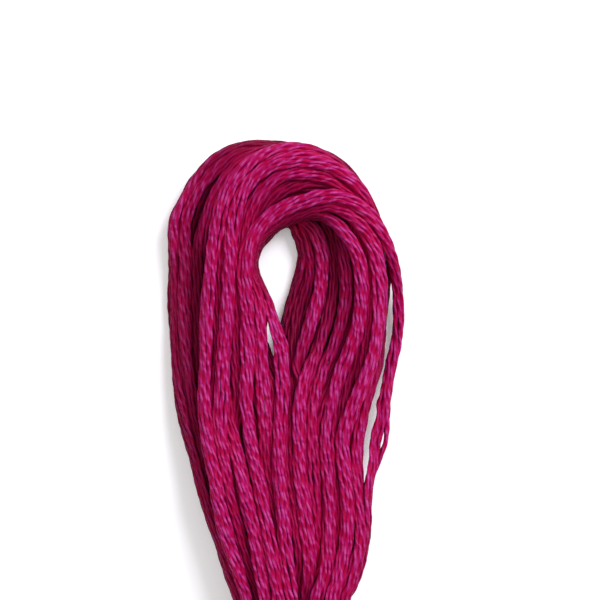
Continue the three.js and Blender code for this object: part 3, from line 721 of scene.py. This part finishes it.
def cotton(name, tone):
    """Mercerised cotton in magenta: fine fibres along each ply, a silky gloss and a faint fuzz, with painted
    highlights on the ply crests, painted shade in the ply grooves, flanks and valleys, and painted bounce light deep
    between the strands.
    """
    m = bpy.data.materials.new(name)
    m.use_nodes = True
    nodes, links = m.node_tree.nodes, m.node_tree.links
    nodes.clear()

    def new(kind, **settings):
        node = nodes.new(kind)
        for key, value in settings.items():
            setattr(node, key, value)
        return node

    def maths(operation, *values):
        node = new("ShaderNodeMath", operation=operation)
        for socket, value in zip(node.inputs, values):
            if isinstance(value, (int, float)):
                socket.default_value = value
            else:
                links.new(value, socket)
        return node.outputs[0]

    out = new("ShaderNodeOutputMaterial")
    shader = new("ShaderNodeBsdfPrincipled")
    links.new(shader.outputs[0], out.inputs[0])
    uv = new("ShaderNodeUVMap", uv_map="strand")
    split = new("ShaderNodeSeparateXYZ")
    links.new(uv.outputs[0], split.inputs[0])
    # the crest of each ply, 1 along its middle and 0 in the groove between the two; it shapes the ply bump and also
    # places the painted highlight and painted shade
    crest = maths("MULTIPLY_ADD", maths("COSINE", maths("MULTIPLY", split.outputs[1], 4 * math.pi)), 0.5, 0.5)
    fibres = new("ShaderNodeMapping")
    fibres.inputs["Scale"].default_value = (12.0, 30.0, 1.0)
    links.new(uv.outputs[0], fibres.inputs[0])
    streak = new("ShaderNodeTexNoise", noise_dimensions="2D")
    streak.inputs["Scale"].default_value = 1.0
    streak.inputs["Detail"].default_value = 3.0
    links.new(fibres.outputs[0], streak.inputs["Vector"])
    where = new("ShaderNodeTexCoord")
    slow = new("ShaderNodeTexNoise", noise_dimensions="3D")
    slow.inputs["Scale"].default_value = 700.0
    slow.inputs["Detail"].default_value = 3.0
    links.new(where.outputs["Object"], slow.inputs["Vector"])
    tone_at = maths("MULTIPLY_ADD", streak.outputs["Fac"], 0.55, maths("MULTIPLY", slow.outputs["Fac"], 0.45))
    spread = new("ShaderNodeMapRange")
    spread.inputs["From Min"].default_value = 0.32
    spread.inputs["From Max"].default_value = 0.68
    links.new(tone_at, spread.inputs["Value"])
    lengths = new("ShaderNodeMapping")
    lengths.inputs["Scale"].default_value = (12.5, 2.0, 1.0)
    links.new(uv.outputs[0], lengths.inputs[0])
    patch = new("ShaderNodeTexNoise", noise_dimensions="2D")
    patch.inputs["Scale"].default_value = 1.0
    patch.inputs["Detail"].default_value = 1.0
    links.new(lengths.outputs[0], patch.inputs["Vector"])
    # painted highlight: noise patches along each ply where its crest is painted as a bright glint
    painted_glint = new("ShaderNodeMapRange", interpolation_type="SMOOTHSTEP")
    painted_glint.inputs["From Min"].default_value = 0.33
    painted_glint.inputs["From Max"].default_value = 0.62
    links.new(patch.outputs["Fac"], painted_glint.inputs["Value"])
    # painted highlight along the ply crests, painted shade in the grooves between the plies
    peak = maths("POWER", crest, 1.1)
    painted_highlight = maths("MULTIPLY", maths("MULTIPLY_ADD", peak, 0.85, 0.15),
                   maths("MULTIPLY_ADD", painted_glint.outputs[0], 0.68, maths("MULTIPLY_ADD", spread.outputs[0], 0.27, 0.05)))
    # painted light: down between the strands the colour is painted a deeper, brighter red for light bounced among
    # them, and on the open crests it is painted bluer for sheen
    sunk = new("ShaderNodeAttribute", attribute_name="depth")
    low_down = new("ShaderNodeAttribute", attribute_name="below")

    def between(low, high, value=sunk.outputs["Fac"]):
        node = new("ShaderNodeMapRange", interpolation_type="SMOOTHSTEP")
        node.inputs["From Min"].default_value = low
        node.inputs["From Max"].default_value = high
        links.new(value, node.inputs["Value"])
        return node.outputs[0]

    def blend(factor, a, b):
        node = new("ShaderNodeMix", data_type="RGBA", blend_type="MIX")
        links.new(factor, node.inputs["Factor"])
        for socket, value in (("A", a), ("B", b)):
            if isinstance(value, tuple):
                node.inputs[socket].default_value = (value[0] * tone, value[1] * tone, value[2] * tone, 1)
            else:
                links.new(value, node.inputs[socket])
        return node.outputs["Result"]

    # colours of the painted shade in the ply grooves, of the body and of the painted highlight on the crests
    groove = blend(between(*DEEP), (0.35, 0.0001, 0.042), (0.44, 0.0001, 0.044))
    body = blend(between(*OPEN), (0.38, 0.009, 0.142), (0.40, 0.003, 0.082))
    painted_highlight_colour = blend(between(*OPEN), (0.52, 0.053, 0.232), (0.51, 0.034, 0.144))
    # the strands on a turn's flanks catch less light than those on its back
    side_on = new("ShaderNodeAttribute", attribute_name="flank")
    flank = between(*FLANK, side_on.outputs["Fac"])
    painted_highlight = maths("MULTIPLY", painted_highlight, maths("MULTIPLY_ADD", flank, -0.35, 1.0))
    ply_colour = blend(between(0.30, 0.95, painted_highlight), blend(between(0.02, 0.42, painted_highlight), groove, body), painted_highlight_colour)
    ply_colour = blend(maths("MULTIPLY", flank, 0.28), ply_colour, (0.24, 0.0001, 0.030))
    # and a valley between turns is painted darker than its banks: painted shade
    shade = maths("MULTIPLY", between(*VALLEY, low_down.outputs["Fac"]), 0.82)
    ply_colour = blend(shade, ply_colour, (0.125, 0.0001, 0.015))
    # painted bounce light: deep between the strands the colour is lifted further toward a bright red
    links.new(blend(maths("MULTIPLY", between(*DEEP), 0.7), ply_colour, (0.66, 0.0001, 0.060)), shader.inputs["Base Color"])
    rough = new("ShaderNodeMapRange")
    rough.inputs["To Min"].default_value = 0.36
    rough.inputs["To Max"].default_value = 0.58
    links.new(streak.outputs["Fac"], rough.inputs["Value"])
    links.new(rough.outputs[0], shader.inputs["Roughness"])
    ply = new("ShaderNodeBump")
    ply.inputs["Strength"].default_value = 0.6
    ply.inputs["Distance"].default_value = 0.00006
    links.new(crest, ply.inputs["Height"])
    bump = new("ShaderNodeBump")
    bump.inputs["Strength"].default_value = 0.5
    bump.inputs["Distance"].default_value = 0.00002
    links.new(streak.outputs["Fac"], bump.inputs["Height"])
    links.new(ply.outputs[0], bump.inputs["Normal"])
    links.new(bump.outputs[0], shader.inputs["Normal"])
    shader.inputs["Specular IOR Level"].default_value = 0.10
    shader.inputs["Metallic"].default_value = 0.08
    shader.inputs["Specular Tint"].default_value = (1.0, 0.50, 0.85, 1)
    shader.inputs["Sheen Weight"].default_value = 0.05
    shader.inputs["Sheen Roughness"].default_value = 0.4
    shader.inputs["Sheen Tint"].default_value = (0.60, 0.08, 0.85, 1)
    return m


def floor_and_light():
    m = bpy.data.materials.new("floor")
    m.use_nodes = True
    shader = m.node_tree.nodes["Principled BSDF"]
    shader.inputs["Base Color"].default_value = (0.97, 0.97, 0.97, 1)
    shader.inputs["Roughness"].default_value = 0.9
    shader.inputs["Specular IOR Level"].default_value = 0.1
    shader.inputs["Emission Color"].default_value = (1, 1, 1, 1)
    shader.inputs["Emission Strength"].default_value = 0.16
    mesh = bpy.data.meshes.new("floor")
    w = 3.0
    mesh.from_pydata([(-w, -w, 0), (w, -w, 0), (w, w, 0), (-w, w, 0)], [], [(0, 1, 2, 3)])
    mesh.materials.append(m)
    floor = bpy.data.objects.new("floor", mesh)
    bpy.context.scene.collection.objects.link(floor)
    floor.location.z = -0.00002
    world = bpy.data.worlds.new("studio")
    world.use_nodes = True
    back = world.node_tree.nodes["Background"]
    back.inputs["Color"].default_value = (1, 1, 1, 1)
    back.inputs["Strength"].default_value = 0.62
    bpy.context.scene.world = world

    def lamp(name, at, size, power, colour=(1.0, 1.0, 1.0)):
        data = bpy.data.lights.new(name, "AREA")
        data.shape = "DISK"
        data.size = size
        data.energy = power
        data.color = colour
        lamp_ = bpy.data.objects.new(name, data)
        lamp_.location = at
        aim = Vector((0.0, 0.03, 0.0)) - Vector(at)
        lamp_.rotation_euler = aim.to_track_quat("-Z", "Y").to_euler()
        lamp_.visible_camera = False
        bpy.context.scene.collection.objects.link(lamp_)
    lamp("key", (0.31, 0.42, 0.40), 0.40, 4.3, (1.0, 0.97, 1.08))
    lamp("fill", (-0.6, 0.1, 1.1), 1.0, 2.0)


def camera():
    data = bpy.data.cameras.new("camera")
    data.lens, data.sensor_width = 200.0, 36.0
    data.clip_start, data.clip_end = 0.01, 10.0
    cam = bpy.data.objects.new("camera", data)
    wide = 0.060
    height = 0.0035 + wide / 36.0 * 200.0
    cam.location = (0.00158, 0.0614, height)
    cam.rotation_euler = (0, 0, 0)
    bpy.context.scene.collection.objects.link(cam)
    bpy.context.scene.camera = cam


view = bpy.context.scene.view_settings
view.view_transform = "Standard"
view.look = "None"
view.exposure = 0.0

route0, hold, turn_no = wind()
cord = settle_cord(route0, hold)
strands = settle_strands(lay_strands(cord, turn_no))
level = rings_needed(strands)
crowd = crowding(strands)
# depths below the neighbouring turns, which set the painted shade of valleys and flanks
drop = valleys(strands, 2.6, 0.25, 4) * (1 - np.minimum(1, 4 * looseness(cord, turn_no)[1]))
flank = valleys(strands, 0.9, 0.15, 2)
total = 0
for j in range(STRANDS):
    verts, faces, uv, shades = draw_strand(strands[j], level[j], crowd[j], drop[j], flank[j], j)
    make_piece("strand_%d" % (j + 1), verts, faces, uv, shades, cotton("cotton_%d" % (j + 1), 0.87))
    total += 2 * len(faces)
print("cord mm", round(float(np.linalg.norm(np.diff(cord, axis=0), axis=1).sum())), "triangles", total,
      "levels", np.bincount(level.ravel()))
floor_and_light()
camera()
